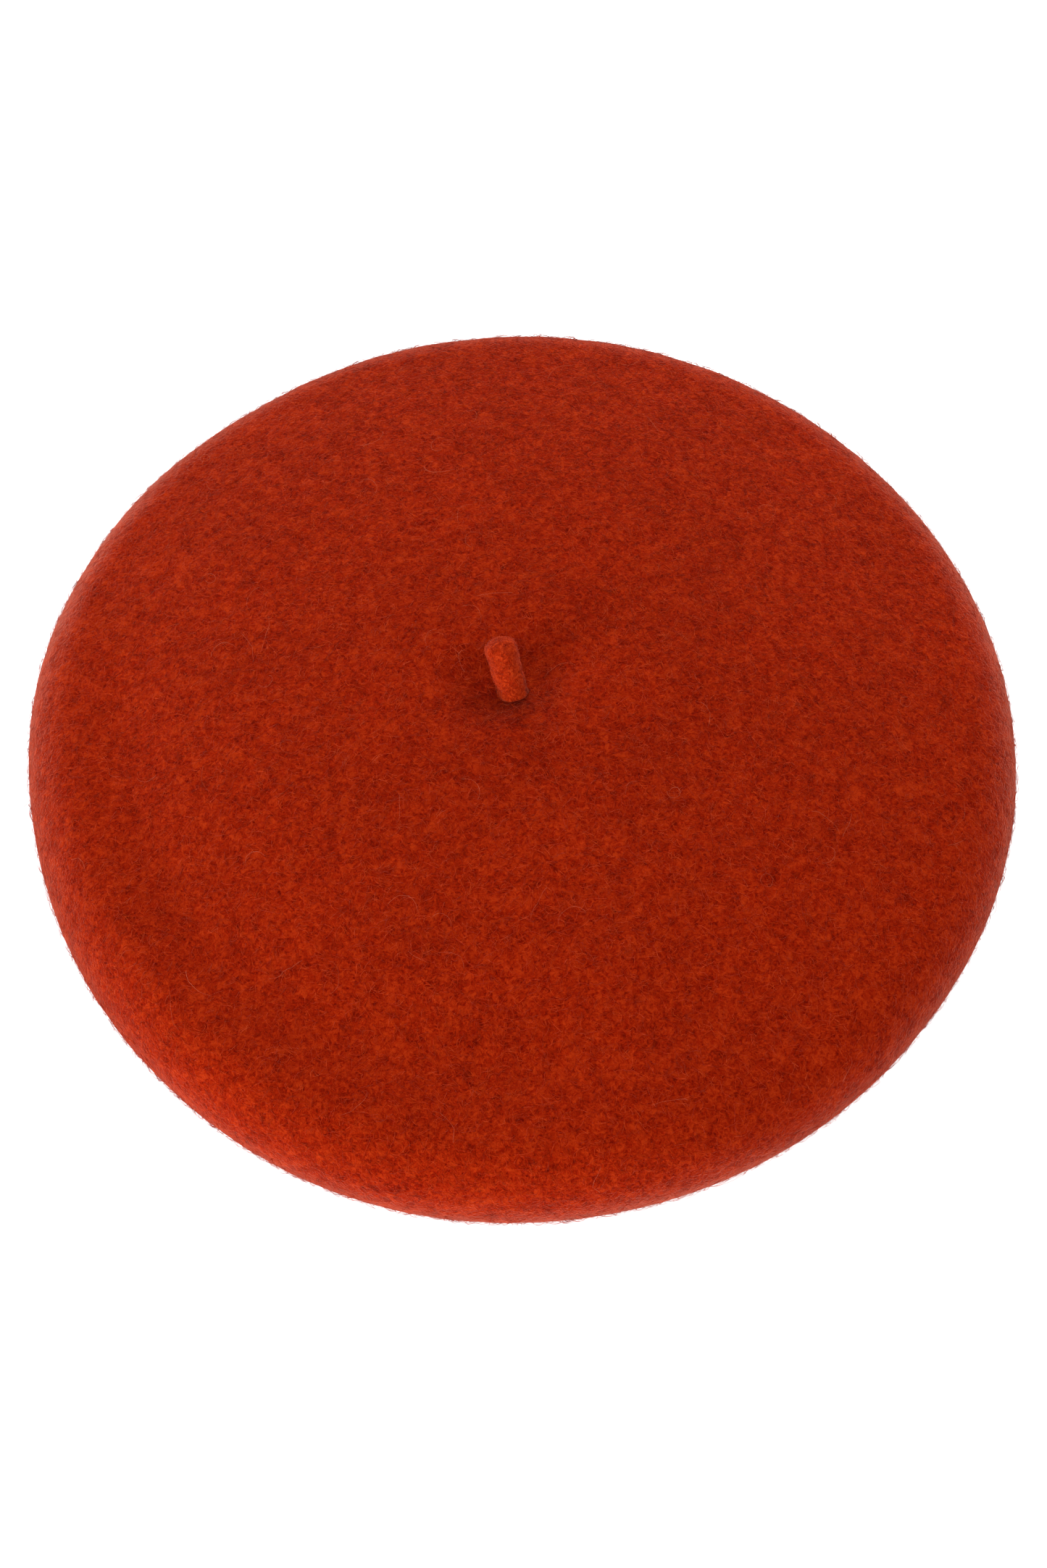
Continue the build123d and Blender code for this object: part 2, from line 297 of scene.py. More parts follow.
def thread_material(name, deep, mid, pale, gloss=0.45):
    """Spun polyester: fine filaments with a soft shine."""
    n = Nodes(name)
    strands = n.noise(0.16 * MM, 2.0, 0.6, 0.8)
    tone = n.math("ADD", n.math("MULTIPLY", strands, 0.7), n.math("MULTIPLY", n.noise(2.5 * MM), 0.3))
    n.link(n.ramp(tone, (0.34, deep), (0.5, mid), (0.64, pale)), n.shader.inputs["Base Color"])
    n.link(n.ramp(tone, (0.3, gloss + 0.2), (0.7, gloss)), n.shader.inputs["Roughness"])
    n.bump(strands, 0.5, 0.06 * MM)
    n.set(Sheen_Weight=0.1, Sheen_Roughness=0.4, Specular_IOR_Level=0.25)
    return n.material


def yarn_material():
    """The felt's own wool, not fulled: streaky plies with hairs."""
    n = Nodes("felt_yarn")
    streaks = n.noise(0.5 * MM, 3.0, 0.65, 2.0)
    tone = n.math("ADD", n.math("MULTIPLY", streaks, 0.65), n.math("MULTIPLY", n.noise(2.2 * MM), 0.35))
    colour = n.ramp(tone, (0.36, FELT_DEEP), (0.49, FELT_MID), (0.64, FELT_PALE))
    n.link(colour, n.shader.inputs["Base Color"])
    n.link(n.ramp(tone, (0.3, 0.95), (0.7, 0.8)), n.shader.inputs["Roughness"])
    n.bump(streaks, 0.6, 0.2 * MM)
    n.set(Sheen_Weight=0.2, Sheen_Roughness=0.4, Sheen_Tint=SHEEN_TINT, Specular_IOR_Level=0.05)
    return n.material


def grosgrain_material():
    """Ribbon bent round the Z axis: painted shade between its upright ribs, with fine warp lines across them.
    """
    n = Nodes("grosgrain")
    place = n.add("ShaderNodeSeparateXYZ")
    n.link(n.where, place.inputs["Vector"])
    x, y, z = place.outputs
    # painted shade in the valleys between the ribs, by angle round the Z axis
    rib_valley_shade = n.math("COSINE", n.math("MULTIPLY", n.math("ARCTAN2", y, x), RIBS_AROUND))
    rib_valley_shade = n.math("MULTIPLY_ADD", rib_valley_shade, 0.5)
    rib_valley_shade.node.inputs[2].default_value = 0.5
    warp = n.math("SINE", n.math("MULTIPLY", z, 2 * math.pi / (0.42 * MM)))
    slub = n.noise(1.0, 2.0, 0.6, vector=n.stretched(n.where, scale=(900, 900, 90)))
    tone = n.math("ADD", n.math("MULTIPLY", rib_valley_shade, 0.55), n.math("MULTIPLY", slub, 0.45))
    deep, mid, pale = (0.030, 0.0045, 0.003), (0.12, 0.018, 0.010), (0.19, 0.034, 0.020)
    colour = n.ramp(tone, (0.15, deep), (0.55, mid), (0.9, pale))
    wear = n.ramp(n.noise(17 * MM, 3.0, 0.6), (0.42, 0.86), (0.62, 1.1))
    n.link(n.mix(1.0, colour, wear, "MULTIPLY"), n.shader.inputs["Base Color"])
    n.link(n.ramp(slub, (0.3, 0.62), (0.7, 0.42)), n.shader.inputs["Roughness"])
    height = n.math("ADD", n.math("MULTIPLY", warp, 0.35), n.math("MULTIPLY", slub, 0.5))
    n.bump(height, 0.5, 0.08 * MM)
    n.set(Sheen_Weight=0.12, Sheen_Roughness=0.35, Specular_IOR_Level=0.3)
    return n.material


def elastic_material():
    """A rubber core in a braided cotton cover."""
    n = Nodes("elastic")
    cover = n.cells(0.34 * MM, "F1")
    tone = n.math("ADD", n.math("MULTIPLY", cover, 0.6), n.math("MULTIPLY", n.noise(0.9 * MM), 0.5))
    pale, mid, deep = (0.085, 0.034, 0.032), (0.05, 0.02, 0.02), (0.014, 0.006, 0.006)
    n.link(n.ramp(tone, (0.25, pale), (0.5, mid), (0.8, deep)), n.shader.inputs["Base Color"])
    n.link(n.ramp(cover, (0.1, 0.7), (0.7, 0.92)), n.shader.inputs["Roughness"])
    n.bump(n.math("MULTIPLY", cover, -1.0), 0.5, 0.1 * MM)
    n.set(Specular_IOR_Level=0.2)
    return n.material


def tape_material(name, azimuth, half_width, ground, pale, line, stripe, weft, gloss, bump):
    """A woven tape whose length lies along an azimuth: crossing threads, and a stripe near each selvedge."""
    n = Nodes(name)
    turned = n.stretched(n.where, turn=(0, 0, -azimuth))
    place = n.add("ShaderNodeSeparateXYZ")
    n.link(turned, place.inputs["Vector"])
    along, across, _ = place.outputs
    wefts = n.math("SINE", n.math("MULTIPLY", along, 2 * math.pi / weft))
    warps = n.math("SINE", n.math("MULTIPLY", across, 2 * math.pi / (weft * 0.8)))
    weave = n.math("MULTIPLY", wefts, warps)
    streak = n.noise(1.0, 2.0, 0.6, vector=n.stretched(turned, scale=(260, 2600, 260)))
    near_edge = n.math("ABSOLUTE", n.math("SUBTRACT", n.math("ABSOLUTE", across), half_width * stripe))
    in_stripe = n.math("LESS_THAN", near_edge, 0.45 * MM)
    tone = n.math("ADD", n.math("MULTIPLY", weave, 0.10), streak)
    lit = n.ramp(tone, (0.3, tuple(c * 0.78 for c in ground)), (0.5, ground), (0.7, pale))
    n.link(n.mix(in_stripe, lit, line), n.shader.inputs["Base Color"])
    n.link(n.ramp(tone, (0.3, gloss + 0.16), (0.7, gloss)), n.shader.inputs["Roughness"])
    n.bump(n.math("ADD", n.math("MULTIPLY", weave, 0.6), n.math("MULTIPLY", streak, 0.6)), 0.5, bump)
    n.set(Sheen_Weight=0.08, Sheen_Roughness=0.3, Specular_IOR_Level=0.4)
    return n.material


thread = thread_material("thread", (0.14, 0.012, 0.004), (0.30, 0.040, 0.015), (0.46, 0.085, 0.038))
yarn = yarn_material()
grosgrain = grosgrain_material()
elastic = elastic_material()
satin = tape_material(
    "satin_tape",
    azimuth=CARE_AZIMUTH,
    half_width=CARE_WIDTH / 2,
    ground=(0.80, 0.76, 0.70),
    pale=(0.88, 0.85, 0.79),
    line=(0.34, 0.03, 0.012),
    stripe=0.86,
    weft=0.22 * MM,
    gloss=0.3,
    bump=0.03 * MM,
)
woven = tape_material(
    "woven_tape",
    azimuth=SIZE_AZIMUTH,
    half_width=SIZE_WIDTH / 2,
    ground=(0.03, 0.025, 0.025),
    pale=(0.055, 0.047, 0.047),
    line=(0.40, 0.05, 0.02),
    stripe=0.84,
    weft=0.42 * MM,
    gloss=0.6,
    bump=0.08 * MM,
)


# ---------------------------------------------------------------- felt body
def circle_path(centre, radius, first, last, count):
    a = np.radians(np.linspace(first, last, count))
    return np.c_[centre[0] + radius * np.cos(a), centre[1] + radius * np.sin(a)]


def shell_path(inset, spacing):
    """The felt's face, in (radius, height), from the foot ring round the rim to the stalk's hole."""
    roll_centre = (RIM - ROLL, ROLL_HEIGHT)
    rise = DOME_HEIGHT - ROLL_HEIGHT
    dome = (rise**2 + roll_centre[0] ** 2 - ROLL**2) / (2 * (rise - ROLL))
    dome_centre = (0, DOME_HEIGHT - dome)
    shoulder = math.degrees(math.atan2(ROLL_HEIGHT - dome_centre[1], roll_centre[0]))
    run = (roll_centre[0] - FOOT_OUTER, ROLL_HEIGHT)
    slope = math.degrees(math.atan2(run[1], run[0]) - math.asin(ROLL / math.hypot(*run)))
    bend = (FOOT_OUTER - inset * math.tan(math.radians(slope / 2)), inset)
    around_roll = circle_path(roll_centre, ROLL - inset, slope - 90, shoulder, 200)
    hole_angle = math.degrees(math.acos(HOLE / dome))
    over_dome = circle_path(dome_centre, dome - inset, shoulder, hole_angle, 300)[1:]
    path = np.vstack([[(FOLD_RADIUS, inset), bend], around_roll, over_dome])
    steps = np.r_[0, np.cumsum(np.linalg.norm(np.diff(path, axis=0), axis=1))]
    at = np.linspace(0, steps[-1], max(int(steps[-1] / spacing), 8))
    return np.c_[np.interp(at, steps, path[:, 0]), np.interp(at, steps, path[:, 1])]


FOLD_STEPS = 11


def hem_path(spacing):
    """The turned-in hem, from the shell's inner face round its cut edge and the fold to the foot ring."""
    inner = circle_path((FOLD_RADIUS, FOLD), HEM_GAP / 2, 270, 90, 7)[1:]
    edge = HEM_EDGE - FELT / 2
    flat = np.arange(FOLD_RADIUS + spacing, edge, spacing)
    lower = np.c_[flat, np.full(len(flat), HEM_TOP - FELT)]
    cut = circle_path((edge, HEM_TOP - FELT / 2), FELT / 2, -90, 90, 7)
    upper = np.c_[flat[::-1], np.full(len(flat), HEM_TOP)]
    fold = circle_path((FOLD_RADIUS, FOLD), FOLD, 90, 270, FOLD_STEPS + 1)[:-1]
    return np.vstack([inner, lower, cut, upper, fold])


# Waves of the rim: how many round it, their share of its radius, and their turn. The first moves it whole.
RIM_WAVES = (
    (1, 0.043, 52),
    (2, 0.005, 205),
    (3, 0.0044, 261),
    (4, 0.0038, 53),
    (5, 0.0011, 273),
    (8, 0.0007, 130),
)
# the crown's waves, up and down
SAG_WAVES = ((1, 0.5 * MM, 60), (2, 0.7 * MM, 150), (3, 0.5 * MM, 20))
RIDGE_AZIMUTH, RIDGE_HEIGHT, RIDGE_WIDTH = 238, 1.7 * MM, 9 * MM
RIDGE_RADIUS, HOLLOW_RADIUS = 126 * MM, 108 * MM


def sculpt(points, normals):
    """Turns the lathe-like shape into cloth: an uneven rim, a dimple, soft waves and matted lumps."""
    theta = np.arctan2(points[:, 1], points[:, 0])
    radius = np.hypot(points[:, 0], points[:, 1])
    out = points.copy()
    # the crown gives way from near its middle, the underside only from outside the hem
    underside = 1 - smooth(5 * MM, 16 * MM, points[:, 2])
    at_rim = smooth(70 * MM + 37 * MM * underside, RIM, radius)
    swell = sum(a * np.cos(k * theta + math.radians(p)) for k, a, p in RIM_WAVES)
    out[:, :2] *= (1 + at_rim * swell)[:, None]
    high = smooth(5 * MM, 30 * MM, points[:, 2])
    out[:, 2] += high * smooth(25 * MM, RIM, radius) * sum(
        a * np.cos(k * theta + math.radians(p)) for k, a, p in SAG_WAVES
    )
    # the dimple round the stalk reaches further out on its right and on its front left
    lobes = 1 + 0.30 * np.cos(2 * (theta - math.radians(25)))
    dimple = DIMPLE_DEPTH * np.exp(-((radius / (DIMPLE_SPREAD * lobes)) ** 2))
    out[:, 2] -= high * dimple
    # the rim stands up a little at the front left, with a hollow inside it
    ridge = np.exp(-(((radius - RIDGE_RADIUS) / RIDGE_WIDTH) ** 2))
    hollow = 0.6 * np.exp(-(((radius - HOLLOW_RADIUS) / RIDGE_WIDTH) ** 2))
    there = smooth(0.2, 0.95, np.cos(theta - math.radians(RIDGE_AZIMUTH)))
    out[:, 2] += high * RIDGE_HEIGHT * (ridge - hollow) * there
    # a faint fold that runs forward from the stalk's foot
    across = points[:, 0] + 1.5 * MM * np.sin(points[:, 1] / (9 * MM))
    along = smooth(-55 * MM, -30 * MM, points[:, 1]) * smooth(-5 * MM, -14 * MM, points[:, 1])
    out[:, 2] += high * 0.35 * MM * along * np.exp(-((across / (3.5 * MM)) ** 2))
    lumps = 0.55 * MM * high * noise_at(points, 52 * MM, 3.1)
    lumps += 0.16 * MM * noise_at(points, 6.5 * MM, 7.7)
    lumps += 0.07 * MM * noise_at(points, 2.8 * MM, 1.3)
    out += normals * lumps[:, None]
    # puckers where the underside is drawn in at the hem
    puckers = smooth(116 * MM, 100 * MM, radius) * (1 - high) * (points[:, 2] > 0.4 * MM)
    out[:, 2] += puckers * 0.25 * MM * np.cos(46 * theta + 3 * np.sin(5 * theta))
    out[:, 2] = np.maximum(out[:, 2], 0.0)
    return out


AROUND = 420


def felt_body():
    outer = shell_path(0, 1.45 * MM)
    inner = shell_path(FELT, 4.0 * MM)[::-1]
    path = np.vstack([outer, inner, hem_path(1.6 * MM)])
    tangent = np.roll(path, -1, 0) - np.roll(path, 1, 0)
    normal = unit(np.c_[tangent[:, 1], -tangent[:, 0]])
    angles = np.linspace(0, 2 * np.pi, AROUND, endpoint=False)
    ring = np.c_[np.cos(angles), np.sin(angles)]
    points = np.array([[r * c, r * s, z] for r, z in path for c, s in ring])
    normals = np.array([[nr * c, nr * s, nz] for nr, nz in normal for c, s in ring])
    made = sculpt(points, normals)
    piece = add_mesh("felt_body_cloth", made, grid_faces(len(path), AROUND, close_rows=True), felt)
    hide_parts("felt_body")
    rows = made.reshape(len(path), AROUND, 3)
    return np.vstack([rows[-FOLD_STEPS:], rows[: len(outer)]])


outside = felt_body()


# ---------------------------------------------------------------- nap
def cell_tables(surface):
    """Corner, edges, normals and areas of a surface grid's cells."""
    a = surface[:-1]
    b = np.roll(surface, -1, 1)[:-1]
    c = surface[1:]
    across, down = b - a, c - a
    cross = np.cross(across, down)
    area = np.linalg.norm(cross, axis=-1)
    return a, across, down, cross / np.maximum(area, 1e-15)[..., None], area


def rooted(surface, count, draw):
    """Random places on a surface grid, and the outward normals there."""
    a, across, down, normal, area = cell_tables(surface)
    chance = area.ravel() / area.sum()
    cell = draw.choice(chance.size, count, p=chance)
    u, v = draw.random((2, count, 1))
    place = a.reshape(-1, 3)[cell] + across.reshape(-1, 3)[cell] * u + down.reshape(-1, 3)[cell] * v
    return place, normal.reshape(-1, 3)[cell]


def fibre_mesh(places, normals, draw, length, lift, radius, curl, segments=3):
    """Curly fibres that lie along a surface: a closed tapered tube each."""
    count = len(places)
    heading = draw.random((count, 1)) * 2 * np.pi
    side = unit(np.cross(normals, draw.normal(size=(count, 3))))
    other = np.cross(normals, side)
    sizes = draw.uniform(*length, (count, 1))
    rise = draw.uniform(*lift, (count, 1))
    thick = draw.uniform(*radius, (count, 1))
    spine = [places - normals * 0.12 * MM]
    turn = draw.normal(size=(count, 1)) * curl
    flat = places.copy()
    for k in range(segments):
        direction = side * np.cos(heading) + other * np.sin(heading)
        flat = flat + direction * sizes / segments
        # the surface falls away under a long fibre, so its far end comes back down
        height = rise * math.sin(math.pi * min((k + 1) / (segments + 0.6), 1.0))
        spine.append(flat + normals * height)
        heading = heading + turn + draw.normal(size=(count, 1)) * curl * 0.5
    points, faces = [], []
    ring_angle = [2 * math.pi * i / 3 for i in range(3)]
    for k in range(segments):
        ahead = unit(spine[k + 1] - spine[max(k - 1, 0)])
        flank = unit(np.cross(ahead, normals))
        upper = np.cross(flank, ahead)
        taper = 1 - 0.45 * k / segments
        for a in ring_angle:
            points.append(spine[k] + (flank * math.cos(a) + upper * math.sin(a)) * thick * taper)
    points.append(spine[-1])
    each = 3 * segments + 1
    cloud = np.stack(points, 1).reshape(-1, 3)
    pattern = []
    for k in range(segments - 1):
        for i in range(3):
            j = (i + 1) % 3
            pattern.append((3 * k + i, 3 * k + j, 3 * k + 3 + j, 3 * k + 3 + i))
    last = 3 * (segments - 1)
    tips = [(last + i, last + (i + 1) % 3, each - 1) for i in range(3)]
    base = np.arange(count)[:, None] * each
    for quad in pattern:
        faces.append(base + np.array(quad))
    quads = np.concatenate(faces).tolist()
    ends = np.concatenate([base + np.array(t) for t in tips + [(2, 1, 0)]]).tolist()
    return cloud, quads + ends


def nap(name, surface, count, seed, length, lift, radius, curl, material, segments=3):
    draw = np.random.default_rng(seed)
    places, normals = rooted(surface, count, draw)
    points, faces = fibre_mesh(places, normals, draw, length, lift, radius, curl, segments)
    heights = points[:, 2].reshape(count, -1)
    # what would lie under the floor is pushed up whole, into the felt
    heights += np.maximum(0.02 * MM - heights.min(1), 0)[:, None]
    add_mesh(name, points, faces, material)


def rows_between(low, high):
    """The outside's rows whose path position, as a share from foot to crown, is in a range."""
    n = len(outside)
    return outside[int(low * n) : int(high * n) + 1]


SHORT = {
    "length": (2.2 * MM, 5.5 * MM),
    "lift": (0.10 * MM, 0.42 * MM),
    "radius": (0.045 * MM, 0.075 * MM),
    "curl": 0.55,
    "material": nap_wool,
}
LIFTED = {**SHORT, "lift": (0.12 * MM, 0.75 * MM)}
nap("crown_nap_inner", rows_between(0.62, 1.0), 12000, SEED, **SHORT)
nap("crown_nap_outer", rows_between(0.42, 0.62), 12000, SEED + 1, **SHORT)
nap("rim_nap", rows_between(0.16, 0.42), 12000, SEED + 2, **LIFTED)
nap("hem_nap", rows_between(0.0, 0.16), 9000, SEED + 4, **SHORT)
nap(
    "stray_fibres",
    rows_between(0.22, 0.97),
    90,
    SEED + 3,
    length=(6 * MM, 13 * MM),
    lift=(0.4 * MM, 1.1 * MM),
    radius=(0.04 * MM, 0.06 * MM),
    curl=0.4,
    material=stray_wool,
    segments=9,
)

# ---------------------------------------------------------------- stalk
LEAN = math.radians(39)
LEAN_AZIMUTH = 112
pivot = Vector(next(j for j in frame["joints"] if j["name"] == "stalk_bend")["pos_m"])
lean = Vector(outward(LEAN_AZIMUTH) * math.sin(LEAN)) + Vector((0, 0, math.cos(LEAN)))
FOOT_Z = 46.2 * MM  # where the stalk's mesh begins, inside the felt
STALK_TIP = 11.3 * MM  # from the pivot to the stalk's end


def stalk_piece():
    """The felt stub: a spine that leaves the crown upright, then leans, and a flared foot."""
    hinge, along = np.array(pivot), np.array(lean)
    foot = hinge - along * (hinge[2] - FOOT_Z) / along[2] * 0.8
    foot[2] = FOOT_Z
    knee = hinge + along * 3.4 * MM
    t = np.linspace(0, 1, 16)[:, None]
    lower = (1 - t) ** 2 * foot + 2 * t * (1 - t) * hinge + t**2 * knee
    upper = hinge + along * np.linspace(3.9 * MM, STALK_TIP, 20)[:, None]
    spine = np.vstack([lower, upper])
    travel = np.r_[0, np.cumsum(np.linalg.norm(np.diff(spine, axis=0), axis=1))]
    total = travel[-1]
    body = 4.3 * MM + 0.35 * MM * smooth(3 * MM, total - 3 * MM, travel)
    flare = 0.5 * MM * np.exp(-travel / (1.2 * MM))
    left = np.clip((total - travel) / (3.2 * MM), 0, 1)
    rounded = np.sqrt(np.maximum(1 - (1 - left) ** 2.3, 0.0))
    size = (body + flare) * np.maximum(rounded, 0.02)
    ahead = unit(np.gradient(spine, axis=0))
    flank = unit(np.cross(ahead, outward(LEAN_AZIMUTH - 90)))
    over = np.cross(flank, ahead)
    columns = 44
    angle = np.linspace(0, 2 * np.pi, columns, endpoint=False)
    radial = flank[:, None] * np.cos(angle)[None, :, None] + over[:, None] * np.sin(angle)[None, :, None]
    squash = 1 + 0.07 * np.cos(2 * angle + 0.6)
    grid = spine[:, None] + radial * (size[:, None] * squash[None])[..., None]
    flat = grid.reshape(-1, 3)
    lump = 0.36 * MM * noise_at(flat, 4.0 * MM, 5.0) + 0.24 * MM * noise_at(flat, 1.9 * MM, 2.0)
    flat = flat + radial.reshape(-1, 3) * lump[:, None]
    rows = len(spine)
    points = np.vstack([flat, spine[:1], spine[-1:] + along * 0.05 * MM])
    faces = grid_faces(rows, columns)
    low, top = rows * columns, rows * columns + 1
    faces += [(low, (j + 1) % columns, j) for j in range(columns)]
    last = (rows - 1) * columns
    faces += [(top, last + j, last + (j + 1) % columns) for j in range(columns)]
    piece = add_mesh("stalk_felt", points, faces, stalk_wool_painted_light, body=None)
    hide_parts("stalk")
    return piece, flat.reshape(rows, columns, 3)


stalk, stalk_surface = stalk_piece()
draw = np.random.default_rng(SEED + 5)
places, normals = rooted(stalk_surface[3:], 1200, draw)
points, faces = fibre_mesh(
    places, normals, draw, (1.2 * MM, 2.8 * MM), (0.1 * MM, 0.6 * MM), (0.05 * MM, 0.08 * MM), 0.8
)
stalk_nap = add_mesh("stalk_nap", points, faces, nap_wool, body=None)
for piece in (stalk, stalk_nap):
    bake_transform(piece)


# ---------------------------------------------------------------- yarn, thread and cord
def carried_frames(spine, closed):
    """Directions along a spine and one across it that turns as little as it can."""
    ahead = unit(np.roll(spine, -1, 0) - np.roll(spine, 1, 0)) if closed else unit(np.gradient(spine, axis=0))
    flank = np.empty_like(spine)
    flank[0] = unit(np.cross(ahead[0], np.eye(3)[np.argmin(abs(ahead[0]))]))
    for i in range(1, len(spine)):
        flank[i] = unit(flank[i - 1] - ahead[i] * (flank[i - 1] @ ahead[i]))
    if closed:
        back = unit(flank[-1] - ahead[0] * (flank[-1] @ ahead[0]))
        miss = math.atan2(np.cross(back, flank[0]) @ ahead[0], back @ flank[0])
        turn = np.linspace(0, miss, len(spine), endpoint=False)[:, None]
        flank = flank * np.cos(turn) + np.cross(ahead, flank) * np.sin(turn)
    return ahead, flank


def tube(spine, radius, sides, plies=0, depth=0.0, pitch=1.0, closed=False, braided=False):
    """A tube along a spine. Its plies are lobes that twist once in a pitch, or that cross in a braid."""
    ahead, flank = carried_frames(spine, closed)
    over = np.cross(ahead, flank)
    steps = np.linalg.norm(np.diff(spine, axis=0), axis=1)
    travel = np.r_[0, np.cumsum(steps)]
    total = travel[-1] + (np.linalg.norm(spine[0] - spine[-1]) if closed else 0)
    turns = round(plies * total / pitch) / plies if closed and plies else total / pitch
    twist = (2 * math.pi * turns * travel / total)[:, None]
    angle = np.linspace(0, 2 * math.pi, sides, endpoint=False)[None]
    lobe = np.cos(plies * (angle - twist))
    if braided:
        lobe = lobe * np.cos(plies * (angle + twist))
    size = np.broadcast_to(radius, len(spine))[:, None] * (1 + depth * lobe * (plies > 0))
    radial = flank[:, None] * np.cos(angle)[..., None] + over[:, None] * np.sin(angle)[..., None]
    points = (spine[:, None] + radial * size[..., None]).reshape(-1, 3)
    faces = grid_faces(len(spine), sides, close_rows=closed)
    if closed:
        return points, faces
    low, high = len(points), len(points) + 1
    last = (len(spine) - 1) * sides
    faces += [(low, (j + 1) % sides, j) for j in range(sides)]
    faces += [(high, last + j, last + (j + 1) % sides) for j in range(sides)]
    return np.vstack([points, spine[:1], spine[-1:]]), faces


def joined(parts):
    """One list of points and one of faces, from several meshes."""
    starts = np.cumsum([0] + [len(points) for points, faces in parts])
    faces = [tuple(k + start for k in face) for (points, made), start in zip(parts, starts) for face in made]
    return np.vstack([points for points, faces in parts]), faces


def drop(points, up):
    """Points of a face that looks up or down, where the felt's waves and lumps carry them."""
    return sculpt(points, np.broadcast_to(np.array([0.0, 0.0, up]), points.shape))


STITCH = 3.4 * MM
STITCH_THREAD = 0.3 * MM  # its radius, over both plies
STITCH_TWIST = 1.5 * MM


def stitch(place, along, up, draw, on_felt=True):
    """One stitch of two-ply thread: it comes up out of the cloth, lies along it and dives again."""
    along = unit(along + np.cross(up, along) * draw.normal() * 0.07)
    reach = STITCH / 2 * draw.uniform(0.92, 1.06)
    t = np.linspace(-1, 1, 19)[:, None]
    height = 0.16 * MM - 0.75 * MM * t**6
    spine = place + along * draw.normal() * 0.12 * MM + along * reach * t
    if on_felt:
        spine = drop(spine, up[2])
    spine = spine + up * height
    taper = STITCH_THREAD * (1 - 0.35 * t[:, 0] ** 4)
    return tube(spine, taper, 10, plies=2, depth=0.26, pitch=STITCH_TWIST)


def sewing(name, node, stitches):
    piece = add_mesh(name, *joined(stitches), thread)
    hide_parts(node)


UP, DOWN = np.array([0, 0, 1.0]), np.array([0, 0, -1.0])
HEM_STITCHES, HEM_STITCH_RADIUS, HEM_STITCH_SLANT = 108, 102.5 * MM, 55
BAND_STITCHES, BAND_STITCH_HEIGHT = 90, FOLD
JOIN_STITCHES = 5
KNOT_RADIUS = 4 * MM
TACKS, TACK_RADIUS = 6, 5.9 * MM
LABEL_STITCHES, LABEL_STITCH_RADIUS = 4, 97.3 * MM


def around(count):
    return [i * 360 / count for i in range(count)]


def all_sewing():
    draw = np.random.default_rng(SEED + 7)
    hem = [
        stitch(outward(a) * HEM_STITCH_RADIUS + UP * HEM_TOP, outward(a + HEM_STITCH_SLANT), UP, draw)
        for a in around(HEM_STITCHES)
    ]
    sewing("hem_thread", "hem_stitches", hem)
    band = [
        stitch(outward(a) * BAND_INNER + UP * BAND_STITCH_HEIGHT, outward(a + 90), -outward(a), draw, False)
        for a in around(BAND_STITCHES)
    ]
    sewing("sweatband_thread", "sweatband_stitches", band)
    patch_low, patch_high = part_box("band_join_patch")
    rise = patch_high[2] - patch_low[2]
    join = [
        stitch(
            np.array([0, BAND_INNER, patch_low[2] + rise * (i + 0.5) / JOIN_STITCHES]),
            np.array([1.0, 0, 0]),
            np.array([0, -1.0, 0]),
            draw,
            False,
        )
        for i in range(JOIN_STITCHES)
    ]
    sewing("band_join_thread", "band_join_stitches", join)
    ceiling = DOME_HEIGHT - FELT
    tacks = [
        stitch(outward(a) * TACK_RADIUS + UP * ceiling, outward(a), DOWN, draw) for a in around(TACKS)
    ]
    sewing("stalk_tack_thread", "stalk_tack_stitches", tacks)
    whip = []
    for azimuth, width in ((CARE_AZIMUTH, CARE_WIDTH), (SIZE_AZIMUTH, SIZE_WIDTH)):
        step = math.degrees(width / LABEL_RADIUS / LABEL_STITCHES)
        for i in range(LABEL_STITCHES):
            a = azimuth + step * (i - (LABEL_STITCHES - 1) / 2)
            foot = outward(a) * LABEL_STITCH_RADIUS + UP * (HEM_TOP + LABEL_CLOTH)
            whip.append(stitch(foot, outward(a), UP, draw))
    sewing("label_thread", "label_stitches", whip)


# ---------------------------------------------------------------- sweatband and the patch behind its joint
BAND_INNER = BAND_OUTER - BAND_THICKNESS
RIB_STEPS = 6  # points along each rib
RIB_DEPTH = 0.14 * MM


def band_wave(angle, height):
    """How far the ribbon's free edge leans in, none of it near the joint or the sewn edge."""
    away = 1 - np.exp(-(((angle - math.pi / 2) / 0.25) ** 2))
    wave = 0.35 + 0.35 * np.sin(3 * angle + 1) + 0.3 * np.sin(7 * angle)
    return -0.8 * MM * away * wave * smooth(6 * MM, band_high[2], height)


